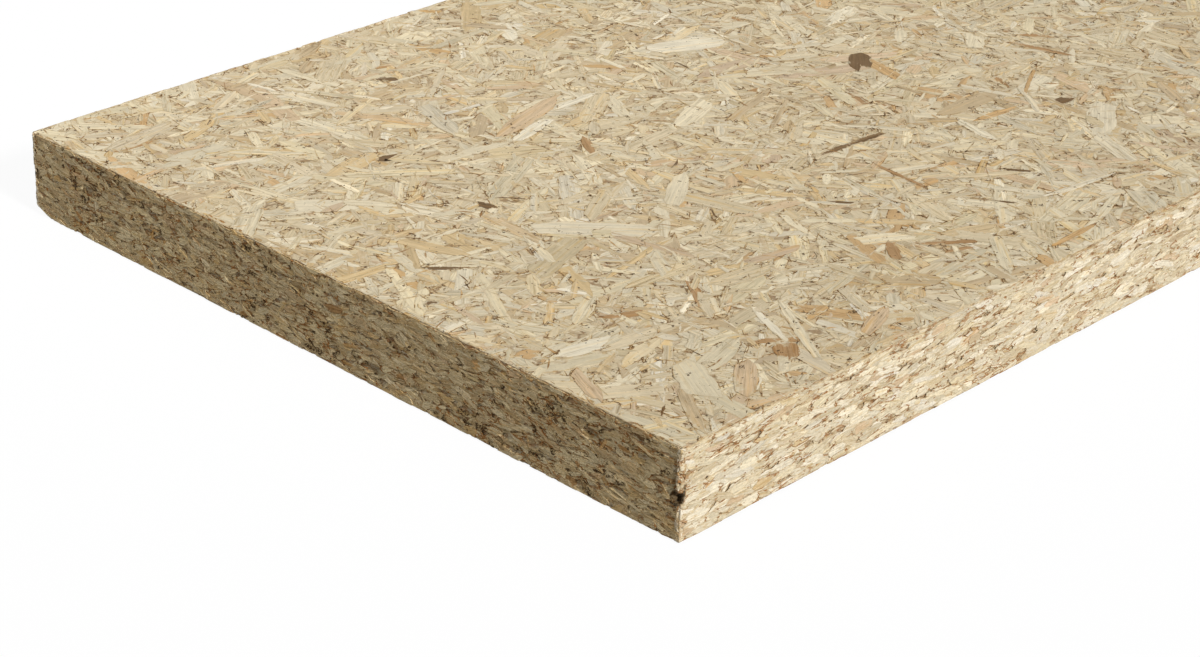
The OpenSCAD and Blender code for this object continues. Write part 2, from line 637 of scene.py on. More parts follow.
class Side:
    """One flat side of the panel: a corner, the ways of its width and height, and its outward normal."""

    def __init__(self, corner, across, up, width, height):
        self.corner = np.array(corner)
        self.across = np.array(across, float)
        self.up = np.array(up, float)
        self.outward = np.cross(self.across, self.up)
        self.size = np.array([width, height])
        self.hollows = []
        self.hole = None

    def placed(self, flat, depth):
        """Points given on the side and their depths behind it, as points of the panel's frame."""
        spread = flat[..., 0, None] * self.across + flat[..., 1, None] * self.up
        return self.corner + spread - depth[..., None] * self.outward

    def flattened(self, points):
        """Points of the panel's frame as points on the side."""
        offset = points - self.corner
        return np.stack([offset @ self.across, offset @ self.up], -1)

    def hollow_depth(self, flat):
        """How far the hollows press in each point of the side."""
        depth = np.zeros(flat.shape[:-1])
        for centre, radii, deepest in self.hollows:
            gap = (flat - centre) / radii
            depth = np.maximum(depth, deepest * np.clip(1 - (gap**2).sum(-1), 0, 1))
        return depth


def panel_sides():
    """The six sides, by name."""
    (x0, y0, z0), (x1, y1, z1) = LOW, HIGH
    return {
        "top": Side((x0, y0, z1), (1, 0, 0), (0, 1, 0), LENGTH, WIDTH),
        "bottom": Side((x0, y1, z0), (1, 0, 0), (0, -1, 0), LENGTH, WIDTH),
        "front": Side((x0, y0, z0), (1, 0, 0), (0, 0, 1), LENGTH, THICKNESS),
        "back": Side((x1, y1, z0), (-1, 0, 0), (0, 0, 1), LENGTH, THICKNESS),
        "left": Side((x0, y1, z0), (0, -1, 0), (0, 0, 1), WIDTH, THICKNESS),
        "right": Side((x1, y0, z0), (0, 1, 0), (0, 0, 1), WIDTH, THICKNESS),
    }


def arris_strip(first, second, width):
    """The slanting strip that takes off the arris between two sides, as a side of its own."""
    along = np.cross(second.outward, first.outward)
    middle = (np.array(LOW) + np.array(HIGH)) / 2
    half = (np.array(HIGH) - np.array(LOW)) / 2
    start = middle + half * (first.outward + second.outward - along)
    up = (second.outward - first.outward) / math.sqrt(2)
    length = 2 * abs(half @ along)
    leg = width / math.sqrt(2)
    return Side(start - leg * second.outward, along, up, length, width)


def scattered(rng, size, count):
    """About count points spread evenly at random over a rectangle, in shuffled order."""
    columns = max(1, round(math.sqrt(count * size[0] / size[1])))
    rows = max(1, round(count / columns))
    cells = np.stack(np.meshgrid(np.arange(columns), np.arange(rows)), -1).reshape(-1, 2)
    points = (cells + rng.random(cells.shape)) / (columns, rows) * size
    return rng.permutation(points)


def add_hollows(sides):
    """Gives the sawn sides the hollows where chips fell out: deeper ones, and more, on the short sides."""
    rng = np.random.default_rng(HOLLOW_SEED)
    for name, (density, radii, depths) in HOLLOWS.items():
        side = sides[name]
        count = int(density * side.size[0] * side.size[1])
        for centre in scattered(rng, side.size, count):
            radius = rng.uniform(*radii) * MM
            share = min(1.0, BORDER_HOLLOW + min(centre[1], side.size[1] - centre[1]) / HOLLOW_FADE)
            depth = share * rng.uniform(*depths) * MM
            side.hollows.append((centre, (HOLLOW_STRETCH * radius, radius), depth))
    for name in ("left", "right"):
        side = sides[name]
        for end in (0.0, side.size[0]):
            for height in rng.uniform(*DENT_HEIGHTS, CORNER_DENTS):
                radii = tuple(rng.uniform(*ends) * MM for ends in DENT_RADII)
                side.hollows.append((np.array([end, height]), radii, rng.uniform(*DENT_DEPTHS) * MM))
    side = sides["left"]
    side.hole = side.flattened(CORNER_HOLE)
    side.hollows.append((side.hole + CORNER_CRATER_SHIFT, CORNER_CRATER_RADII, CORNER_CRATER_DEPTH))
    return sides


def crushed_plane():
    """A point of the crushed corner's face and its outward normal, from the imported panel's own mesh."""
    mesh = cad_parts[CAD_NODE].data
    for polygon in mesh.polygons:
        if max(abs(part) for part in polygon.normal) < SQUARE:
            return np.array(polygon.center), np.array(polygon.normal)
    raise RuntimeError("the packed panel has no crushed corner")


def arris_wear(places):
    """How much of the arris has crumbled away beside each of those places: little of it along the bottom."""
    waves = [[share * noise.noise(Vector(place) * scale) for scale, share in WEAR_WAVES] for place in places]
    swing = np.clip(WEAR_LEVEL + np.array(waves).reshape(-1, len(WEAR_WAVES)).sum(-1), 0, MOST_SWING)
    return (LEAST_WEAR + WEAR_SWING * swing) * bottom_share(places) * MM


def bottom_share(places):
    """How worn or ragged each of those places is for each bit of it higher up: less along the bottom."""
    return np.where(places[:, 2] < LOW[2] + BOTTOM_REACH, BOTTOM_WEAR, 1.0)


PANEL_SIDES = add_hollows(panel_sides())
CRUSH_POINT, CRUSH_NORMAL = crushed_plane()


def kept_in_panel(points):
    """Points pulled back into the panel's box and behind its crushed corner."""
    held = np.clip(points, LOW, HIGH)
    over = np.maximum((held - CRUSH_POINT) @ CRUSH_NORMAL, 0.0)
    held = held - over[..., None] * CRUSH_NORMAL
    return np.clip(held, LOW, HIGH)


# ---------------------------------------------------------------------------------------------------------
# Chips
# ---------------------------------------------------------------------------------------------------------


# The ends of the chips: how many broke off blunt, how wide both kinds are beside the chip's middle, and how
# late the chips narrow towards them.
BLUNT_SHARE = 0.55
BLUNT_ENDS = (0.6, 1.0)
TAPERED_ENDS = (0.05, 0.35)
SWELL_POWERS = (1.8, 5.0)

# The points of the outlines: how far the teeth spread and stray, how slanting the ends are and how far out
# they lie, how far the stations stray and where the last ones are, and what keeps a bow about the middle.
TEETH_SPREAD = 0.85
TEETH_JITTER = 0.12
END_SLANT = 0.5
END_REACH = (0.86, 1.06)
STATION_JITTER = 0.22
LAST_STATION = 0.94
BOW_BALANCE = 0.33

# How near a side's borders chips get walls, how small they can be, how far from a chip's border its walls
# count as lying, and how many seeds of grain there are.
WALLED_REACH = 1.0 * MM
SMALLEST_CHIP = (0.4 * MM) ** 2
WALL_BORDER = 0.3 * MM
SEEDS = 10000

# How near its middle, in radii, the hole swallows chips whole, and lengths next to nothing and endless.
HOLE_HEART = 0.5
NO_LENGTH = 1e-9
FAR = 1e3

# How much painted shade darkens a chip in the hollows, and at its root and the lower outline of its walls.
HOLLOW_SHADE = 0.6
DEEP_HOLLOW = 1.2 * MM
ROOT_SHADE = np.array([0.62, 0.50, 0.35])

# How far the chips' colours stray from the named ones: in light, and between yellow and blue.
LIGHT_SPREAD = 0.055
WARMTH_SPREAD = 0.03
WARMTH = np.array([0.3, 0.0, -1.0])

# The square map on which the chips lie spread out, and the one place on it of all the faces below them.
BAKE_MAP = "OFBake"
MAP_SIDE = 1024
MAP_GAP = 2.0
MAP_EDGE = 8.0
MAP_SHRINK = 0.97
LEAST_DRAWN = 2.5
HIDDEN_PLACE = ((1.0, 1.0), (5.0, 1.0), (1.0, 5.0))


def chip_outlines(rng, lengths, widths, stations, teeth, wobble, bend):
    """Outlines of chips lying along their own grain, counterclockwise.

    Each side has that many stations and each end that many teeth. An end is tapered or broken off blunt.
    """
    count = len(lengths)
    reach = lengths[:, None] / 2
    half = widths[:, None] / 2
    blunt = rng.random((count, 2)) < BLUNT_SHARE
    ends = np.where(blunt, rng.uniform(*BLUNT_ENDS, (count, 2)), rng.uniform(*TAPERED_ENDS, (count, 2)))
    power = rng.uniform(*SWELL_POWERS, (count, 1))
    steps = np.linspace(-1, 1, stations + 2)[None, 1:-1]

    def swell(along):
        """Half the width of each chip at a place along it, as a share of its widest half."""
        end = np.where(along < 0, ends[:, :1], ends[:, 1:])
        return 1 - (1 - end) * np.abs(along) ** power

    parts = []
    for sign in (-1, 1):
        edge = np.linspace(-TEETH_SPREAD, TEETH_SPREAD, teeth)[None] if teeth > 1 else np.zeros((1, 1))
        edge = -sign * edge + rng.normal(0, TEETH_JITTER, (count, teeth))
        slant = rng.normal(0, END_SLANT, (count, 1)) * edge * half
        along = sign * reach * rng.uniform(*END_REACH, (count, teeth)) + slant
        across = edge * half * ends[:, (sign + 1) // 2, None]
        parts.append(np.stack([along, -across if teeth > 1 else across], -1))
        along = steps + rng.normal(0, STATION_JITTER / stations, (count, stations))
        along = np.sort(np.clip(along, -LAST_STATION, LAST_STATION), axis=1)
        across = sign * half * swell(along) * (1 + rng.normal(0, wobble, (count, stations)))
        side = np.stack([along * reach, across], -1)
        parts.append(side if sign < 0 else side[:, ::-1])
    ring = np.concatenate(parts, axis=1)
    bow = rng.normal(0, bend, (count, 1)) * reach
    ring[..., 1] += bow * ((ring[..., 0] / reach) ** 2 - BOW_BALANCE)
    return ring


def cut_outline(outline, low, high):
    """An outline cut off at the sides of a rectangle."""
    for axis in (0, 1):
        for sign, limit in ((1, low[axis]), (-1, -high[axis])):
            if not len(outline):
                return outline
            over = outline[:, axis] * sign - limit
            kept = []
            for here in range(len(outline)):
                before = here - 1
                if (over[here] >= 0) != (over[before] >= 0):
                    share = over[before] / (over[before] - over[here])
                    kept.append(outline[before] + share * (outline[here] - outline[before]))
                if over[here] >= 0:
                    kept.append(outline[here])
            outline = np.array(kept).reshape(-1, 2)
    return outline


def cut_round_hole(outline, centre):
    """An outline cut off along the rim of the corner hole, and nothing at all when it lies over the hole."""
    if not len(outline):
        return outline
    scaled = (outline - centre) / CORNER_HOLE_RADII
    middle = scaled.mean(0)
    away = np.linalg.norm(middle)
    if away < HOLE_HEART:
        return outline[:0]
    direction = middle / away
    if (scaled @ direction).min() >= 1:
        return outline
    turn = np.array([[direction[0], direction[1]], [-direction[1], direction[0]]])
    turned = cut_outline(scaled @ turn.T, (1.0, -FAR), (FAR, FAR))
    return (turned @ turn) * CORNER_HOLE_RADII + centre if len(turned) else outline[:0]


def outline_area(outline):
    """The area that an outline encloses."""
    after = np.roll(outline, -1, axis=-2)
    cross = outline[..., 0] * after[..., 1] - outline[..., 1] * after[..., 0]
    return np.abs(cross.sum(-1)) / 2


class ChipLayer:
    """Chips laid on the sides of the panel, gathered until they become one mesh.

    Each chip is a closed wedge: its outline, the middle of its shown face, and a root under that middle. A
    chip near the side's borders has a second outline below the first, and walls between them.
    """

    def __init__(self, rng):
        self.rng = rng
        self.points = []
        self.grains = []
        self.colours = []
        self.borders = []
        self.islands = []
        self.spots = []
        self.kinds = []

    def lay(self, side, outlines, look):
        """Lays chips on a side. look holds an array for each property, with a row for each chip."""
        count = len(outlines)
        turn = np.stack([np.cos(look["angle"]), np.sin(look["angle"])], -1)
        look = dict(look, turn=turn, seed=self.rng.integers(0, SEEDS, count).astype(float))
        along, across = outlines[..., 0], outlines[..., 1]
        flat = np.stack(
            [
                look["centre"][:, None, 0] + along * turn[:, None, 0] - across * turn[:, None, 1],
                look["centre"][:, None, 1] + along * turn[:, None, 1] + across * turn[:, None, 0],
            ],
            -1,
        )
        low = look["margin"]
        high = side.size - look["margin"]
        beyond = (flat < low[:, None] + WALLED_REACH) | (flat > high[:, None] - WALLED_REACH)
        near_border = beyond.any((1, 2))
        batches = {(flat.shape[1], False): [(index, flat[index]) for index in np.flatnonzero(~near_border)]}
        for index in np.flatnonzero(near_border):
            ring = cut_outline(flat[index], low[index], high[index])
            if side.hole is not None:
                ring = cut_round_hole(ring, side.hole)
            if len(ring) > 2 and outline_area(ring) > SMALLEST_CHIP:
                batches.setdefault((len(ring), True), []).append((index, ring))
        for (corners, walled), members in sorted(batches.items()):
            picked = np.array([index for index, ring in members], int)
            rings = np.array([ring for index, ring in members]).reshape(-1, corners, 2)
            self.add(side, rings, {name: values[picked] for name, values in look.items()}, walled)

    def add(self, side, rings, look, walled):
        """Turns outlines with the same number of corners into closed chips."""
        corners = rings.shape[1]
        middle = rings.mean(1, keepdims=True)
        flat = np.concatenate([rings, middle, middle], 1)
        offset = flat - look["centre"][:, None]
        turn = look["turn"][:, None]
        along = (offset * turn).sum(-1)
        across = offset[..., 1] * turn[..., 0] - offset[..., 0] * turn[..., 1]
        lean = along * look["tilt"][:, None, 0] + across * look["tilt"][:, None, 1]
        depth = look["depth"][:, None] + lean - np.minimum(lean.min(1, keepdims=True), 0)
        depth[:, -1] += look["thickness"]
        after = np.roll(rings, -1, axis=1)
        edge = after - rings
        spoke = middle - rings
        reach = np.abs(edge[..., 0] * spoke[..., 1] - edge[..., 1] * spoke[..., 0])
        reach = reach / np.maximum(np.linalg.norm(edge, axis=-1), NO_LENGTH)
        border = np.full((len(rings), 4 * corners if walled else 2 * corners, 3), WALL_BORDER)
        border[:, :corners] = 0.0
        border[:, :corners, 2] = reach
        seed = np.broadcast_to(look["seed"][:, None], along.shape)
        grain = np.stack([along, across, seed], -1)
        if walled:
            flat = np.concatenate([flat, rings], 1)
            depth = np.concatenate([depth, depth[:, :corners] + look["thickness"][:, None]], 1)
            grain = np.concatenate([grain, grain[:, :corners]], 1)
        hollow = side.hollow_depth(flat)
        points = side.placed(flat, depth + hollow)
        # Painted shade: chips darker the deeper a hollow presses them in, and darker still at their roots and
        # lower walls.
        colour = look["colour"][:, None] * (1 - HOLLOW_SHADE * np.clip(hollow / DEEP_HOLLOW, 0, 1))[..., None]
        colour[:, corners + 1 :] *= ROOT_SHADE
        islands, spots = unrolled(along, across, look["thickness"], walled)
        kept = (points.mean(1) - CRUSH_POINT) @ CRUSH_NORMAL < 0
        self.islands.append(islands[kept])
        self.spots.append(spots[kept].reshape(-1, 2))
        self.points.append(kept_in_panel(points[kept]).reshape(-1, 3))
        self.grains.append(grain[kept].reshape(-1, 3))
        self.colours.append(colour[kept].reshape(-1, 3))
        self.borders.append(border[kept].ravel())
        self.kinds += [(corners, walled)] * int(kept.sum())

    def build(self, name, material):
        """Makes the mesh of all the chips, with their grain, colour and border as attributes, and its map."""
        loops = []
        start = 0
        for corners, walled in self.kinds:
            loops.append(chip_pattern(corners, walled) + start)
            start += 2 * corners + 2 if walled else corners + 2
        loops = np.concatenate(loops)
        mesh = bpy.data.meshes.new(name)
        points = np.concatenate(self.points)
        mesh.vertices.add(len(points))
        mesh.vertices.foreach_set("co", points.astype(np.float32).ravel())
        mesh.loops.add(loops.size)
        mesh.loops.foreach_set("vertex_index", loops.astype(np.int32).ravel())
        mesh.polygons.add(len(loops))
        mesh.polygons.foreach_set("loop_start", np.arange(0, loops.size, 3, dtype=np.int32))
        mesh.update(calc_edges=True)
        mesh.shade_flat()
        add_attribute(mesh, "chip_grain", "FLOAT_VECTOR", "vector", np.concatenate(self.grains))
        colours = np.concatenate(self.colours)
        colours = np.concatenate([colours, np.ones((len(colours), 1))], 1)
        add_attribute(mesh, "chip_colour", "FLOAT_COLOR", "color", colours)
        add_attribute(mesh, "chip_border", "FLOAT", "value", np.concatenate(self.borders), "CORNER")
        corners_of_chips = [chip_pattern(corners, walled).size for corners, walled in self.kinds]
        low, drawn = packed(np.concatenate(self.islands))
        low, drawn = np.repeat(low, corners_of_chips, axis=0), np.repeat(drawn, corners_of_chips, axis=0)
        places = low + np.concatenate(self.spots) * drawn
        hidden = np.isnan(places)
        places[hidden] = np.resize(HIDDEN_PLACE, hidden.sum())
        mesh.uv_layers.new(name=BAKE_MAP).uv.foreach_set("vector", (places / MAP_SIDE).ravel())
        return add_piece(name, mesh, material)


def unrolled(along, across, thickness, walled):
    """Each chip laid out on a plane, its walls spread out round its shown face.

    It gives the size of the chip's rectangle, and the place in it of each corner of the chip's triangles. The
    faces under the chip get none.
    """
    corners = along.shape[1] - 2
    flat = np.stack([along, across], -1)
    if walled:
        spokes = flat[:, :corners] - flat[:, corners, None]
        spokes = spokes / np.maximum(np.linalg.norm(spokes, axis=-1, keepdims=True), NO_LENGTH)
        flat = np.concatenate([flat, flat[:, :corners] + spokes * thickness[:, None, None]], 1)
    low = flat.min(1)
    size = flat.max(1) - low
    spots = flat[:, chip_pattern(corners, walled)]
    spots[:, -corners:] = np.nan
    return size, (spots - low[:, None, None]) / size[:, None, None]


def packed(sizes):
    """Lays rectangles in rows on the square map, as large as they fit: their low corners and drawn sizes."""
    scale = MAP_SIDE / math.sqrt((sizes[:, 0] * sizes[:, 1]).sum())
    while True:
        drawn = np.maximum(sizes * scale, LEAST_DRAWN)
        low = np.zeros_like(drawn)
        start, floor, row = MAP_EDGE, MAP_EDGE, 0.0
        for index in np.argsort(-drawn[:, 1], kind="stable"):
            width, height = drawn[index] + MAP_GAP
            if start + width > MAP_SIDE:
                start, floor, row = MAP_EDGE, floor + row, 0.0
            low[index] = start, floor
            start += width
            row = max(row, height)
        if floor + row <= MAP_SIDE:
            return low, drawn
        scale *= MAP_SHRINK


@functools.cache
def chip_pattern(corners, walled):
    """The triangles of one chip, by its points' numbers: outline, middle, root, lower outline if walled."""
    ring = np.arange(corners)
    after = np.roll(ring, -1)
    middle, root = np.full(corners, corners), np.full(corners, corners + 1)
    shown = np.stack([ring, after, middle], -1)
    if not walled:
        return np.concatenate([shown, np.stack([after, ring, root], -1)])
    low, low_after = ring + corners + 2, after + corners + 2
    walls = [np.stack([low, low_after, after], -1), np.stack([low, after, ring], -1)]
    return np.concatenate([shown, *walls, np.stack([low_after, low, root], -1)])


def add_attribute(mesh, name, kind, field, values, domain="POINT"):
    """Gives every vertex of a mesh, or every corner of its faces, its value of an attribute."""
    made = mesh.attributes.new(name, kind, domain)
    made.data.foreach_set(field, np.ascontiguousarray(values, np.float32).ravel())


def add_piece(name, mesh, material):
    """Puts a mesh in the scene as a piece of the panel that rides on its body."""
    mesh.materials.append(material)
    piece = bpy.data.objects.new(name, mesh)
    bpy.context.scene.collection.objects.link(piece)
    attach(piece, BODY)
    return piece


def chip_colours(rng, count, colours, shares):
    """Colours picked by their shares, each a little lighter or darker than its name."""
    names = list(shares)
    weights = np.array([shares[name] for name in names], float)
    palette = np.array([getattr(colours, name)[:] for name in names])
    picked = palette[rng.choice(len(names), count, p=weights / weights.sum())]
    light = np.exp(rng.normal(0, LIGHT_SPREAD, (count, 1)))
    warmth = rng.normal(0, WARMTH_SPREAD, (count, 1)) * WARMTH
    return np.clip(picked * light * (1 + warmth), 0, 1)


# ---------------------------------------------------------------------------------------------------------
# Operators
# ---------------------------------------------------------------------------------------------------------


# How the colours are shared out among the chips of the faces, of the sides and of the arrises.
FACE_SHARES = {
    "pale": 3, "cream": 29, "straw": 27, "ash": 17, "honey": 7, "tan": 7, "rose": 5, "russet": 1.5,
    "umber": 0.6, "bark": 0.1,
}
FINE_SHARES = {
    "pale": 18, "cream": 34, "straw": 20, "honey": 8, "tan": 6, "russet": 6, "umber": 7, "bark": 1.2,
}
LONG_EDGE_SHARES = {
    "pale": 22, "cream": 44, "straw": 11, "ash": 17, "honey": 2, "tan": 1.6, "rose": 3, "russet": 0.7,
}
# The short edges' browner shares are partly the torn wood's own colour, partly painted warm shade of the short
# ends.
SHORT_EDGE_SHARES = {
    "cream": 14, "straw": 36, "ash": 18, "honey": 7, "tan": 22, "rose": 4, "russet": 1.5, "umber": 2,
    "bark": 0.3,
}
LENS_SHARES = {"pale": 3, "cream": 2, "rose": 0.3}
LONG_ARRIS_SHARES = {"pale": 5, "cream": 3, "ash": 1, "rose": 1, "honey": 0.5, "russet": 0.4}
SHORT_ARRIS_SHARES = {"straw": 22, "ash": 12, "tan": 36, "umber": 14, "russet": 8, "honey": 8}


class ChipKind(NamedTuple):
    """How the chips of one kind vary.

    lengths and widths are triangular ranges and depths and thickness plain ones, all in millimetres. stations
    and teeth are the points on each side and end of an outline, wobble is how uneven its sides are and bend
    how bowed it is. tilts are the usual slopes along and across the chip. lean is how far in degrees chips
    turn from level, and None where they lie every way round. overhang is how far in millimetres chips on an
    arris reach past its strip, and None for chips that lie on a side.
    """

    lengths: tuple
    widths: tuple
    stations: int
    teeth: int
    wobble: float
    bend: float
    depths: tuple
    thickness: tuple
    tilts: tuple
    lean: float = None
    overhang: float = None


LONG = ChipKind(
    lengths=(15, 20, 38), widths=(2.0, 3.6, 9.0), stations=6, teeth=3, wobble=0.05, bend=0.03,
    depths=(0.02, 0.09), thickness=(0.28, 0.28), tilts=(0.003, 0.008),
)
MIDDLE = ChipKind(
    lengths=(7, 11, 20), widths=(1.2, 2.2, 4.6), stations=4, teeth=2, wobble=0.08, bend=0.04,
    depths=(0.03, 0.11), thickness=(0.28, 0.28), tilts=(0.004, 0.012),
)
SHORT = ChipKind(
    lengths=(3, 5, 10), widths=(0.6, 1.2, 2.8), stations=2, teeth=2, wobble=0.10, bend=0.05,
    depths=(0.04, 0.13), thickness=(0.28, 0.28), tilts=(0.006, 0.02),
)
FINE = ChipKind(
    lengths=(2, 4.5, 11), widths=(0.2, 0.35, 0.8), stations=2, teeth=1, wobble=0.15, bend=0.08,
    depths=(0.01, 0.08), thickness=(0.28, 0.28), tilts=(0.003, 0.010),
)
LENS = ChipKind(
    lengths=(5, 8, 13), widths=(1.4, 2.2, 3.4), stations=4, teeth=1, wobble=0.06, bend=0.03,
    depths=(0.0, 0.03), thickness=(0.5, 0.9), tilts=(0.003, 0.008), lean=5.0,
)
BAND = ChipKind(
    lengths=(4, 9, 18), widths=(0.8, 1.6, 3.2), stations=4, teeth=1, wobble=0.12, bend=0.06,
    depths=(0.02, 0.09), thickness=(0.5, 0.9), tilts=(0.003, 0.010), lean=9.0,
)
STUB = ChipKind(
    lengths=(1.5, 3.5, 8), widths=(0.5, 1.1, 2.6), stations=2, teeth=2, wobble=0.15, bend=0.06,
    depths=(0.03, 0.11), thickness=(0.5, 0.9), tilts=(0.006, 0.018), lean=14.0,
)
TORN_LENS = LENS._replace(lengths=(3, 5, 9), depths=(0.0, 0.12), tilts=(0.006, 0.02))
TORN_BAND = BAND._replace(
    lengths=(3, 6, 13), widths=(0.6, 1.1, 2.4), depths=(0.0, 0.24), tilts=(0.008, 0.03), lean=14.0
)
TORN_STUB = STUB._replace(widths=(0.4, 0.8, 2.0), depths=(0.0, 0.30), tilts=(0.015, 0.05), lean=34.0)
ARRIS = ChipKind(
    lengths=(1.2, 2.6, 6), widths=(0.4, 0.9, 1.9), stations=2, teeth=1, wobble=0.20, bend=0.06,
    depths=(-0.55, 0.15), thickness=(0.4, 0.8), tilts=(0.08, 0.28), lean=20.0, overhang=0.4,
)
UPRIGHT_ARRIS = ARRIS._replace(
    lengths=(0.8, 1.8, 4.0), widths=(0.4, 0.8, 1.6), depths=(-0.5, -0.15), tilts=(0.02, 0.08), lean=None
)

# How worn the arris strips are beside the sides, how far short of the strips' ends their chips stop, and how
# ragged the cuts of the other chips are, in millimetres.
STRIP_WEAR = 0.8
STRIP_END = 0.3 * MM
RAGGED = 0.25


def lay_chips(layer, side, kind, count, colours, shares):
    """Lays chips of one kind all over a side."""
    rng = layer.rng
    centres = scattered(rng, side.size, count)
    count = len(centres)
    lengths = rng.triangular(*kind.lengths, count) * MM
    widths = rng.triangular(*kind.widths, count) * MM
    outlines = chip_outlines(rng, lengths, widths, kind.stations, kind.teeth, kind.wobble, kind.bend)
    angle = rng.uniform(0, 2 * math.pi, count)
    if kind.lean is not None:
        angle = rng.normal(0, math.radians(kind.lean), count)
    depth = rng.uniform(*kind.depths, count) * MM
    if kind.overhang is not None:
        depth += STRIP_WEAR * wear_share(side) * arris_wear(arris_places(side, centres))
    look = {
        "centre": centres,
        "angle": angle,
        "depth": depth,
        "tilt": rng.normal(0, 1, (count, 2)) * kind.tilts,
        "thickness": rng.uniform(*kind.thickness, count) * MM,
        "margin": worn_margins(rng, side, centres, kind),
        "colour": chip_colours(rng, count, colours, shares),
    }
    layer.lay(side, outlines, look)


def worn_margins(rng, side, centres, kind):
    """How far from the side's ends and long borders each chip is cut: more where an arris is worn."""
    count = len(centres)
    if kind.overhang is not None:
        return np.tile((STRIP_END, -kind.overhang * MM), (count, 1))
    nearest = np.where(centres < side.size / 2, 0.0, side.size)
    at_ends = side.placed(np.stack([nearest[:, 0], centres[:, 1]], -1), np.zeros(count))
    at_borders = side.placed(np.stack([centres[:, 0], nearest[:, 1]], -1), np.zeros(count))
    margins = np.stack([wear_share(side) * arris_wear(at_ends), arris_wear(at_borders)], -1)
    margins[:, 0] = np.maximum(margins[:, 0], dent_depth(side, at_ends))
    ragged = rng.uniform(0.0, RAGGED, (count, 2)) * MM
    ragged[:, 1] *= bottom_share(at_borders)
    return margins + ragged


def wear_share(side):
    """How worn a side's end arrises are for each bit of wear along the top: less where they stand upright."""
    return UPRIGHT_WEAR if side.outward[2] == 0 else 1.0


def arris_places(strip, centres):
    """The points of the sharp arris that a strip takes off, level with each of the centres."""
    half = np.full(len(centres), strip.size[1] / 2)
    return strip.placed(np.stack([centres[:, 0], half], -1), -half)


def dent_depth(side, places):
    """How far the hollows of the neighbouring sides bite into a side at places on its ends."""
    deepest = np.zeros(len(places))
    for other in PANEL_SIDES.values():
        touching = np.abs((places - other.corner) @ other.outward) < TOUCH
        if other is not side and other.hollows:
            deepest = np.maximum(deepest, other.hollow_depth(other.flattened(places)) * touching)
    return deepest


# The relief of the fines on the sides: waves to the metre, the noise's settings and gain, the swing that
# counts, and the least inset that it leaves.
RELIEF_WAVES = (260, 260, 900)
RELIEF_SHIFT = 10
RELIEF_ROUGHNESS = 0.6
RELIEF_SHARPNESS = 2.0
RELIEF_OCTAVES = 3
RELIEF_GAIN = 1.4
RELIEF_SWING = (-1.0, 1.6)
LEAST_INSET = 0.1 * MM

# The levels of points on the sides: how many lie above and below the hole's middle, the fewest that the panel
# has, and the gap that they keep from those, in fine steps.
HOLE_LEVELS = 3
LEAST_LEVELS = 4
LEVEL_GAP = 0.7

# How deep in the fines still give way to hollows, and how wide and flat the bottom of the corner's hole is.
GROUND_GIVE = 4.0 * MM
HOLE_SPREAD = 1.2
HOLE_FLOOR = 1.3

# The grid of the level faces: its bare border and its jitter in steps, and how the mesh library fills it.
FACE_BORDER = 1.5
FACE_JITTER = 0.3
FILL_INSIDE = 1
MERGE_DISTANCE = 1e-7
LEVEL = 0.9


class BOARD_OT_add_ground(bpy.types.Operator):
    """Adds the fines that lie under and between the chips, as one closed mesh"""

    bl_idname = "board.add_ground"
    bl_label = "Add Fines"

    def execute(self, context):
        settings = context.scene.board_ground
        rng = np.random.default_rng(settings.seed)
        mesh = ground_mesh(settings, rng)
        colours = context.scene.board_colours
        piece = add_piece("packed_fines", mesh, sawn_ground_material(colours))
        mesh.materials.append(pressed_ground_material(colours))
        level = [abs(face.normal.z) > LEVEL and len(face.vertices) == 3 for face in mesh.polygons]
        mesh.polygons.foreach_set("material_index", np.array(level, np.int32))
        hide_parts(CAD_NODE)
        return {"FINISHED"}


def spaced(length, step, fine_step, fine_reach):
    """Distances from 0 up to a length: a step apart, and a fine step apart near both ends."""
    fine = np.arange(0, fine_reach, fine_step)
    plain = np.linspace(fine_reach, length - fine_reach, max(2, round((length - 2 * fine_reach) / step)))
    return np.concatenate([fine, plain, length - fine[:0:-1]])


def ground_outline(settings):
    """Points round the panel with their outward directions, counterclockwise from a corner."""
    points, outward = [], []
    corners = [(LOW[0], LOW[1]), (HIGH[0], LOW[1]), (HIGH[0], HIGH[1]), (LOW[0], HIGH[1])]
    for index, start in enumerate(corners):
        run = np.array(corners[(index + 1) % 4]) - start
        length = np.linalg.norm(run)
        way = run / length
        normal = np.array([way[1], -way[0]])
        for distance in spaced(length, settings.edge_step, settings.fine_step, settings.fine_reach):
            points.append(start + way * distance)
            outward.append(normal - way if distance == 0 else normal)
    return np.array(points), np.array(outward)


def ground_heights(settings):
    """The heights of the levels of points on the sides: fine steps about the corner's hole."""
    low, high = LOW[2] + settings.face_inset, HIGH[2] - settings.face_inset
    hole_levels = CORNER_HOLE[2] + np.arange(-HOLE_LEVELS, HOLE_LEVELS + 1) * settings.fine_step
    plain_levels = np.linspace(low, high, max(LEAST_LEVELS, round(THICKNESS / settings.edge_step)) + 1)
    apart = np.abs(plain_levels[:, None] - hole_levels).min(1) > LEVEL_GAP * settings.fine_step
    return np.sort(np.concatenate([plain_levels[apart], hole_levels]))


def torn_point(settings, spot, outward, height, shift):
    """The point of the torn relief that belongs to a spot of the outline at a height."""
    sample = Vector(np.array([*spot, height]) * RELIEF_WAVES) + shift
    swing = noise.fractal(sample, RELIEF_ROUGHNESS, RELIEF_SHARPNESS, RELIEF_OCTAVES)
    inset = settings.edge_inset + settings.edge_relief * np.clip(RELIEF_GAIN * swing, *RELIEF_SWING)
    if outward.all():
        inset += arris_wear(np.array([[*spot, height]]))[0]
    return (*(spot - outward * max(inset, LEAST_INSET)), height)


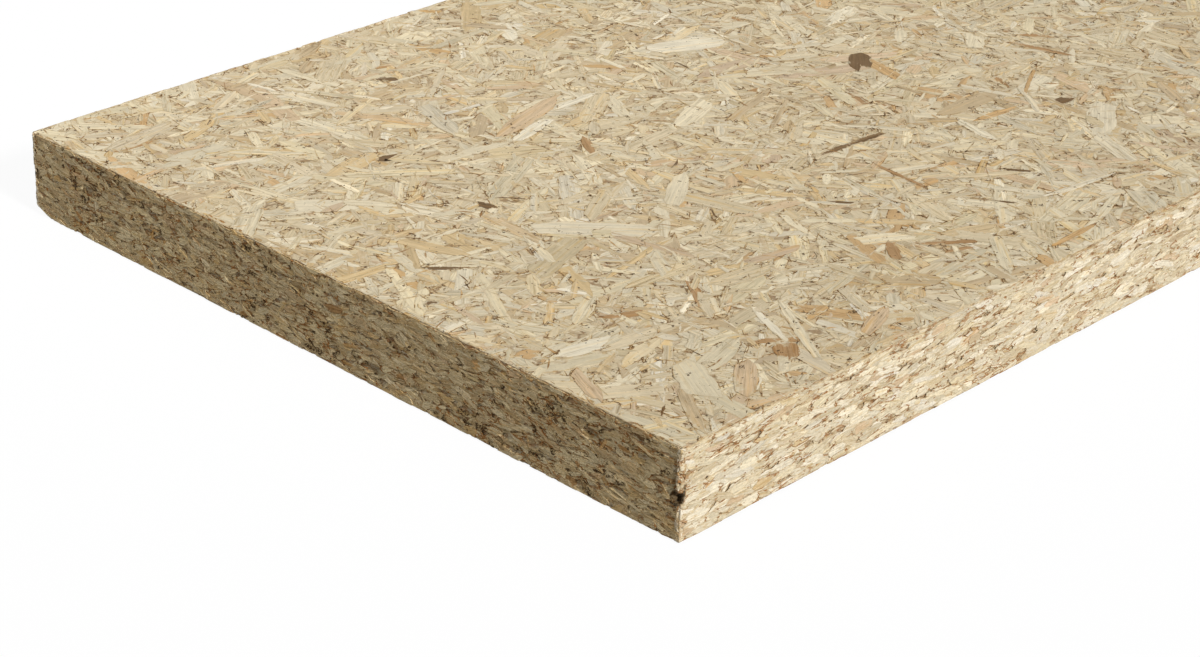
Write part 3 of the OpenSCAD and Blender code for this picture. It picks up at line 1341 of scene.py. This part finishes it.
def pressed_in(places):
    """Moves the places near the sides' hollows and the corner's hole in with them."""
    for name in ("front", "back", "left", "right"):
        side = PANEL_SIDES[name]
        near = np.clip(1 - np.abs((places - side.corner) @ side.outward) / GROUND_GIVE, 0, 1)
        flat = side.flattened(places)
        pressed = side.hollow_depth(flat) * near
        if side.hole is not None:
            gap = (flat - side.hole) / (HOLE_SPREAD * CORNER_HOLE_RADII)
            hole = CORNER_HOLE_DEPTH * np.clip(HOLE_FLOOR - (gap**2).sum(-1), 0, 1)
            pressed = np.maximum(pressed, hole * near)
        places = places - pressed[:, None] * side.outward
    return places


def fill_face(settings, rng, points, ring, height):
    """The triangles that fill the ring of points round a level face. Their inner corners join the points."""
    around = len(ring)
    step = settings.face_step
    border = FACE_BORDER * step
    xs = np.arange(LOW[0] + border, HIGH[0] - border, step)
    ys = np.arange(LOW[1] + border, HIGH[1] - border, step)
    inner = np.array([(x, y) for x in xs for y in ys])
    inner += rng.uniform(-FACE_JITTER, FACE_JITTER, inner.shape) * step
    spots = [Vector(points[index][:2]) for index in ring] + [Vector(spot) for spot in inner]
    edges = [(index, (index + 1) % around) for index in range(around)]
    filled = geometry.delaunay_2d_cdt(spots, edges, [], FILL_INSIDE, MERGE_DISTANCE)
    made, triangles, origins = filled[0], filled[2], filled[3]
    numbers = []
    for spot, sources in zip(made, origins):
        source = min(sources)
        if source < around:
            numbers.append(ring[source])
        else:
            numbers.append(len(points))
            points.append((*spot, height))
    return [[numbers[index] for index in triangle] for triangle in triangles]


def ground_mesh(settings, rng):
    """The closed mesh of the fines: torn edges on a fine grid, flat faces on a coarser one."""
    flat, outward = ground_outline(settings)
    heights = ground_heights(settings)
    shift = Vector(rng.uniform(-RELIEF_SHIFT, RELIEF_SHIFT, 3))
    points = []
    for height in heights:
        for spot, way in zip(flat, outward):
            points.append(torn_point(settings, spot, way, height, shift))
    points = [tuple(place) for place in pressed_in(np.array(points))]
    around = len(flat)
    last = len(points) - around
    faces = []
    for low in range(0, last, around):
        for here in range(around):
            after = (here + 1) % around
            faces.append((low + here, low + after, low + around + after, low + around + here))
    top_ring = range(last, len(points))
    faces += fill_face(settings, rng, points, top_ring, heights[-1])
    faces += [face[::-1] for face in fill_face(settings, rng, points, range(around), heights[0])]
    mesh = bpy.data.meshes.new("packed_fines")
    mesh.from_pydata([tuple(point) for point in kept_in_panel(np.array(points))], [], faces)
    mesh.update()
    return mesh


# How crowded the chips of each level face are beside what the settings say.
FACE_CROWDING = {"top": 1.0, "bottom": 0.85}


class BOARD_OT_add_face_chips(bpy.types.Operator):
    """Adds the chips pressed into the top and bottom faces"""

    bl_idname = "board.add_face_chips"
    bl_label = "Add Face Chips"

    def execute(self, context):
        settings = context.scene.board_face_chips
        colours = context.scene.board_colours
        material = pressed_chip_material(colours)
        groups = {
            "long": (LONG, settings.long_count, FACE_SHARES),
            "middle": (MIDDLE, settings.middle_count, FACE_SHARES),
            "short": (SHORT, settings.short_count, FACE_SHARES),
            "fine": (FINE, settings.fine_count, FINE_SHARES),
        }
        for number, (name, crowding) in enumerate(FACE_CROWDING.items()):
            side = PANEL_SIDES[name]
            rng = np.random.default_rng(settings.seed + number)
            for group, (kind, count, picks) in groups.items():
                layer = ChipLayer(rng)
                lay_chips(layer, side, kind, count * crowding, colours, picks)
                if (name, group) == ("top", "middle"):
                    lay_showy_chips(layer, side, colours)
                layer.build(f"{name}_{group}_chips", material)
        return {"FINISHED"}


# The chips that stand out on the top face: place from the panel's middle, length and width in millimetres,
# angle in degrees, colour.
SHOWY_CHIPS = (
    (-273, -104, 20, 9, 62, "ash"),
    (-264, -112, 20, 6, 40, "rose"),
    (-285, -114, 22, 3.5, 55, "tan"),
    (-246, -109, 10.5, 6.5, 47, "umber"),
    (-218, -114, 17, 4.5, 21, "rose"),
    (-235, -103, 33, 3, 58, "cream"),
    (-239, -98, 23, 2.5, 66, "pale"),
    (-294, -89, 17, 4, 67, "rose"),
    (-281, -75, 16, 6, -12, "pale"),
    (-293, -68, 6, 5, -24, "russet"),
    (-169, -98, 16, 2.5, -36, "umber"),
    (-183, -91, 12, 3.5, 51, "umber"),
    (-159, -123, 9, 4, 74, "russet"),
    (-186, -117, 10, 3, -69, "honey"),
    (-174, -119, 14, 3.5, 79, "tan"),
    (-164, -112, 25, 4, 47, "ash"),
    (-156, -117, 15, 5, 63, "ash"),
    (-140, -118, 21, 2, 1, "russet"),
    (-170, -62, 7, 1.4, -54, "bark"),
    (-139, -89, 14, 1.2, -59, "bark"),
    (-117, -82, 7, 1.4, -54, "bark"),
    (-144, -62, 21, 1.6, 84, "umber"),
    (-112, -100, 29, 2.5, -8, "pale"),
    (-85, 1, 14, 7, 40, "bark"),
    (-65, -60, 5, 4, 0, "bark"),
    (-58, -43, 26, 1.2, 28, "russet"),
    (-189, 38, 37, 7, 17, "rose"),
    (-196, 30, 21, 4.5, 15, "pale"),
    (-171, 37, 20, 3, 3, "pale"),
    (-200, 87, 7, 3, -52, "bark"),
    (-240, 43, 4, 4, -18, "bark"),
    (-241, 1, 5, 3, -71, "bark"),
    (-291, -32, 4, 2.2, -34, "bark"),
    (-195, -26, 23, 6, 35, "cream"),
    (-114, 46, 26, 10, -23, "pale"),
    (-276, -19, 10, 1.8, -43, "bark"),
    (-269, -9, 20, 5, -70, "honey"),
)


# Their outlines' stations, teeth, wobble and bend, and how deep they lie, how thick they are and how far from
# the arrises they are cut, in millimetres.
SHOWY_OUTLINE = (6, 3, 0.06, 0.02)
SHOWY_DEPTHS = (0.002, 0.018)
SHOWY_THICKNESS = 0.28
SHOWY_MARGIN = 0.4


def lay_showy_chips(layer, side, colours):
    """Lays the chips that stand out on the top face."""
    x, y, lengths, widths, angles = (np.array(column, float) for column in list(zip(*SHOWY_CHIPS))[:5])
    count = len(x)
    outlines = chip_outlines(layer.rng, lengths * MM, widths * MM, *SHOWY_OUTLINE)
    centre = np.array(LOW[:2]) + np.array(HIGH[:2])
    look = {
        "centre": side.flattened(np.stack([x * MM, y * MM, np.zeros(count)], -1) + (*centre / 2, 0)),
        "angle": np.radians(angles),
        "depth": np.linspace(*SHOWY_DEPTHS, count) * MM,
        "tilt": np.zeros((count, 2)),
        "thickness": np.full(count, SHOWY_THICKNESS * MM),
        "margin": np.full((count, 2), SHOWY_MARGIN * MM),
        "colour": np.array([getattr(colours, row[5])[:] for row in SHOWY_CHIPS]),
    }
    layer.lay(side, outlines, look)


class EdgeGroup(NamedTuple):
    """Sides that are alike: their kinds of chips, how the colours are shared out, and the saw's cut.

    The kinds are lens-shaped chips, long ones and short ones, and each has its own shares of the colours.
    """

    sides: tuple
    kinds: tuple
    shares: tuple
    arris_shares: dict
    look: SawnLook


EDGE_GROUPS = {
    "long": EdgeGroup(
        sides=("front", "back"),
        kinds=(LENS, BAND, STUB),
        shares=(LENS_SHARES, LONG_EDGE_SHARES, LONG_EDGE_SHARES),
        arris_shares=LONG_ARRIS_SHARES,
        look=CLEAN_CUT,
    ),
    "short": EdgeGroup(
        sides=("left", "right"),
        kinds=(TORN_LENS, TORN_BAND, TORN_STUB),
        shares=(SHORT_EDGE_SHARES, SHORT_EDGE_SHARES, SHORT_EDGE_SHARES),
        arris_shares=SHORT_ARRIS_SHARES,
        look=TORN_CUT,
    ),
}


class BOARD_OT_add_edge_chips(bpy.types.Operator):
    """Adds the sawn chips along the four edges and the broken chips along their arrises"""

    bl_idname = "board.add_edge_chips"
    bl_label = "Add Edge Chips"

    def execute(self, context):
        settings = context.scene.board_edge_chips
        colours = context.scene.board_colours
        densities = settings.lens_density, settings.band_density, settings.stub_density
        materials = {look.name: sawn_chip_material(colours, look) for look in (CLEAN_CUT, TORN_CUT)}
        for number, (name, group) in enumerate(EDGE_GROUPS.items()):
            rng = np.random.default_rng(settings.seed + number)
            material = materials[group.look.name]
            crowding = settings.torn_share if group.look is TORN_CUT else 1.0
            layer = ChipLayer(rng)
            for side in (PANEL_SIDES[side_name] for side_name in group.sides):
                area = side.size[0] * side.size[1] * crowding
                for kind, density, shares in zip(group.kinds, densities, group.shares):
                    lay_chips(layer, side, kind, density * area, colours, shares)
            layer.build(f"{name}_edge_chips", material)
            layer = ChipLayer(rng)
            for side in (PANEL_SIDES[side_name] for side_name in group.sides):
                strip = arris_strip(side, PANEL_SIDES["top"], settings.arris_width)
                count = settings.arris_density * strip.size[0]
                lay_chips(layer, strip, ARRIS, count, colours, group.arris_shares)
            layer.build(f"{name}_arris_chips", material)
        layer = ChipLayer(rng)
        names = ("front", "right", "back", "left")
        for name, after in zip(names, names[1:] + names[:1]):
            strip = arris_strip(PANEL_SIDES[name], PANEL_SIDES[after], settings.arris_width)
            strip.hole = strip.flattened(np.array([CORNER_HOLE[0], LOW[1], CORNER_HOLE[2]]))
            count = settings.upright_share * settings.arris_density * strip.size[0]
            lay_chips(layer, strip, UPRIGHT_ARRIS, count, colours, LONG_ARRIS_SHARES)
        layer.build("upright_arris_chips", materials[CLEAN_CUT.name])
        return {"FINISHED"}


# How far the floor reaches and how far below the panel it lies.
FLOOR_REACH = 6.0
FLOOR_DROP = 0.2 * MM

# Where the camera aims, in thicknesses from the near corner of the top face, and its sensor in millimetres.
AIM_SHIFT = (1.168, 2.18, 0.0)
SENSOR_WIDTH = 36.0
NEAR_CLIP = 0.01

# Where the lamps shine from, and how wide they look, or how large they are.
KEY_FROM = (-0.07, -1.02, 0.62)
KEY_SPREAD = math.radians(9)
FILL_FROM = (-0.45, 0.1, 0.75)
FILL_SPREAD = math.radians(30)
BACK_LAMP_SHIFT = (0.08, 0.02, 0.18)
BACK_LAMP_SIZE = 0.25


class BOARD_OT_add_stage(bpy.types.Operator):
    """Adds the floor, the camera, the lamps and the sky"""

    bl_idname = "board.add_stage"
    bl_label = "Add Stage"

    def execute(self, context):
        settings = context.scene.board_stage
        add_floor()
        add_camera(context, settings)
        add_lamp("key_lamp", settings.key, KEY_FROM, KEY_SPREAD)
        add_lamp("fill_lamp", settings.fill, FILL_FROM, FILL_SPREAD)
        add_back_lamp(settings.back)
        add_sky(context, settings.ambient)
        context.scene.view_settings.view_transform = "Standard"
        return {"FINISHED"}


def add_floor():
    """A wide plain floor just under the panel."""
    mesh = bpy.data.meshes.new("floor")
    corners = [(x * FLOOR_REACH, y * FLOOR_REACH, 0) for x, y in ((-1, -1), (1, -1), (1, 1), (-1, 1))]
    mesh.from_pydata(corners, [], [(0, 1, 2, 3)])
    mesh.materials.append(floor_material())
    floor = bpy.data.objects.new("floor", mesh)
    floor.location.z = LOW[2] - FLOOR_DROP
    bpy.context.scene.collection.objects.link(floor)


def add_camera(context, settings):
    """The camera: it looks down at the near corner of the top face."""
    aim = Vector((LOW[0], LOW[1], HIGH[2])) + Vector(AIM_SHIFT) * THICKNESS
    level, rise = math.cos(settings.elevation), math.sin(settings.elevation)
    toward = Vector((level * math.sin(settings.azimuth), -level * math.cos(settings.azimuth), rise))
    data = bpy.data.cameras.new("camera")
    data.lens = settings.lens
    data.sensor_width = SENSOR_WIDTH
    data.clip_start = NEAR_CLIP
    camera = bpy.data.objects.new("camera", data)
    turn = toward.to_track_quat("Z", "Y").to_matrix().to_4x4() @ Matrix.Rotation(settings.roll, 4, "Z")
    camera.matrix_world = Matrix.Translation(aim + toward * settings.distance) @ turn
    context.scene.collection.objects.link(camera)
    context.scene.camera = camera


def add_lamp(name, strength, direction, angle):
    """A distant soft lamp that shines from that direction."""
    data = bpy.data.lights.new(name, "SUN")
    data.energy = strength
    data.angle = angle
    lamp = bpy.data.objects.new(name, data)
    lamp.rotation_euler = Vector(direction).to_track_quat("Z", "Y").to_euler()
    bpy.context.scene.collection.objects.link(lamp)


def add_back_lamp(watts):
    """A soft lamp that hangs over the far left corner and lights the top face beside it."""
    data = bpy.data.lights.new("back_lamp", "AREA")
    data.energy = watts
    data.size = BACK_LAMP_SIZE
    lamp = bpy.data.objects.new("back_lamp", data)
    lamp.location = np.array([LOW[0], HIGH[1], HIGH[2]]) + BACK_LAMP_SHIFT
    bpy.context.scene.collection.objects.link(lamp)


def add_sky(context, ambient):
    """A white backdrop to the camera, and a dimmer sky to the part."""
    world = bpy.data.worlds.new("studio_sky")
    world.use_nodes = True
    recipe = Recipe("studio_sky", world)
    lit = recipe.node("ShaderNodeBackground", None, {"Color": WHITE, "Strength": ambient}).outputs[0]
    shown = recipe.node("ShaderNodeBackground", None, {"Color": WHITE, "Strength": 1.0}).outputs[0]
    mixed = recipe.node("ShaderNodeMixShader", None, {0: seen_directly(recipe), 1: lit, 2: shown})
    recipe.finish(mixed.outputs[0])
    context.scene.world = world


class BOARD_PT_panel(bpy.types.Panel):
    """The panel in the sidebar that lists the steps and their settings"""

    bl_idname = "BOARD_PT_panel"
    bl_label = "Particleboard Panel"
    bl_space_type = "VIEW_3D"
    bl_region_type = "UI"
    bl_category = "Particleboard"

    def draw(self, context):
        for operator, settings in STEPS:
            box = self.layout.box()
            box.operator(operator.bl_idname)
            if settings:
                group = getattr(context.scene, settings)
                for name in group.__annotations__:
                    box.prop(group, name)
        box = self.layout.box()
        for name in context.scene.board_colours.__annotations__:
            box.prop(context.scene.board_colours, name)


GROUPS = {
    "board_ground": GroundSettings,
    "board_face_chips": FaceChipSettings,
    "board_edge_chips": EdgeChipSettings,
    "board_colours": WoodColours,
    "board_stage": StageSettings,
}
STEPS = (
    (BOARD_OT_add_ground, "board_ground"),
    (BOARD_OT_add_face_chips, "board_face_chips"),
    (BOARD_OT_add_edge_chips, "board_edge_chips"),
    (BOARD_OT_add_stage, "board_stage"),
)


def register():
    """Registers the classes and hangs the settings on the scene."""
    for group in GROUPS.values():
        bpy.utils.register_class(group)
    for operator, settings in STEPS:
        bpy.utils.register_class(operator)
    bpy.utils.register_class(BOARD_PT_panel)
    for name, group in GROUPS.items():
        setattr(bpy.types.Scene, name, PointerProperty(type=group))


def unregister():
    """Takes the settings off the scene and unregisters the classes."""
    for name in GROUPS:
        delattr(bpy.types.Scene, name)
    bpy.utils.unregister_class(BOARD_PT_panel)
    for operator, settings in reversed(STEPS):
        bpy.utils.unregister_class(operator)
    for group in reversed(list(GROUPS.values())):
        bpy.utils.unregister_class(group)


def main():
    """Builds the whole scene, in order."""
    register()
    for operator, settings in STEPS:
        group, name = operator.bl_idname.split(".")
        getattr(getattr(bpy.ops, group), name)()


if __name__ == "__main__":
    main()
